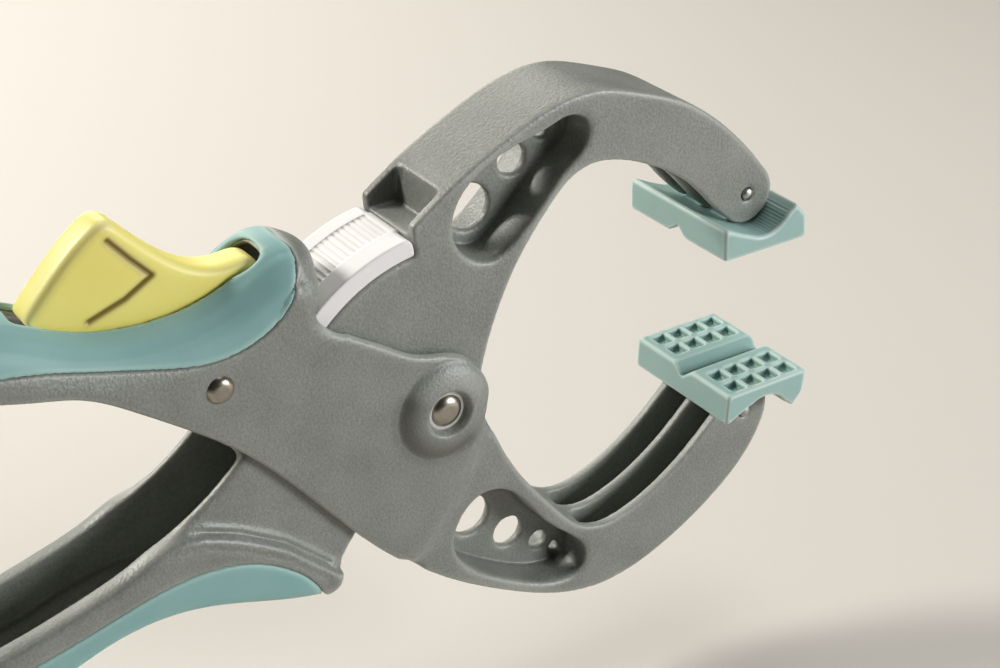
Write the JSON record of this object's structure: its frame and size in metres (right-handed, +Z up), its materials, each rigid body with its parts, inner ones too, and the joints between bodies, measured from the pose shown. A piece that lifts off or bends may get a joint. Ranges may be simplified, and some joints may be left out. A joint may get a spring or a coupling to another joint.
{
  "type": "spring clamp",
  "caption": "One-hand ratchet spring clamp with curved jaws, swivelling grooved pads, soft-grip handles and a thumb release lever.",
  "frame": {"origin": "on the main pivot's axis, at the clamp's mid-plane", "axes": "+X towards the jaws, -X towards the handles, +Z up on the moving jaw's side, Y along the pivot"},
  "size_m": [0.2122, 0.033, 0.1207],
  "materials": {
    "grey_plastic": "fine spark texture",
    "teal_grip": "soft matt",
    "teal_pad": "satin",
    "yellow_plastic": "satin",
    "white_plastic": "satin",
    "steel": "satin",
    "bush_steel": "plain",
    "spring_steel": "bright drawn wire"
  },
  "bodies": {
    "fixed_lever": {"fixed_lever": "grey_plastic", "fixed_lever_grip": "teal_grip", "main_rivet": "steel", "near_rivet_washer": "steel", "far_rivet_washer": "steel", "pivot_bush": "bush_steel", "release_rivet": "steel", "release_rivet_washer": "steel", "lower_pad_pin": "steel", "main_spring": "spring_steel", "release_spring": "spring_steel"},
    "moving_lever": {"moving_lever": "grey_plastic", "moving_lever_grip": "teal_grip", "ratchet_sector": "white_plastic", "sector_pins": "steel", "upper_pad_pin": "steel"},
    "release_lever": {"release_lever": "yellow_plastic"},
    "upper_pad": {"upper_pad": "teal_pad"},
    "lower_pad": {"lower_pad": "teal_pad"}
  },
  "joints": [
    {"name": "jaw_hinge", "type": "hinge", "parent": "fixed_lever", "child": "moving_lever", "pos_m": [0, 0, 0], "axis": [0, 1, 0], "range_deg": [-24, 19], "deforming": ["main_spring"]},
    {"name": "release_hinge", "type": "hinge", "parent": "fixed_lever", "child": "release_lever", "pos_m": [-0.048, 0, 0.0205], "axis": [0, 1, 0], "range_deg": [-6, 0], "stiffness_Nm_per_rad": 0.25, "springref_deg": 6.88, "deforming": ["release_spring"]},
    {"name": "upper_pad_swivel", "type": "hinge", "parent": "moving_lever", "child": "upper_pad", "pos_m": [0.07868, 0, 0.02581], "axis": [0, 1, 0], "range_deg": [-12, 12]},
    {"name": "lower_pad_swivel", "type": "hinge", "parent": "fixed_lever", "child": "lower_pad", "pos_m": [0.08234, 0, -0.02961], "axis": [0, 1, 0], "range_deg": [-12, 12]}
  ]
}
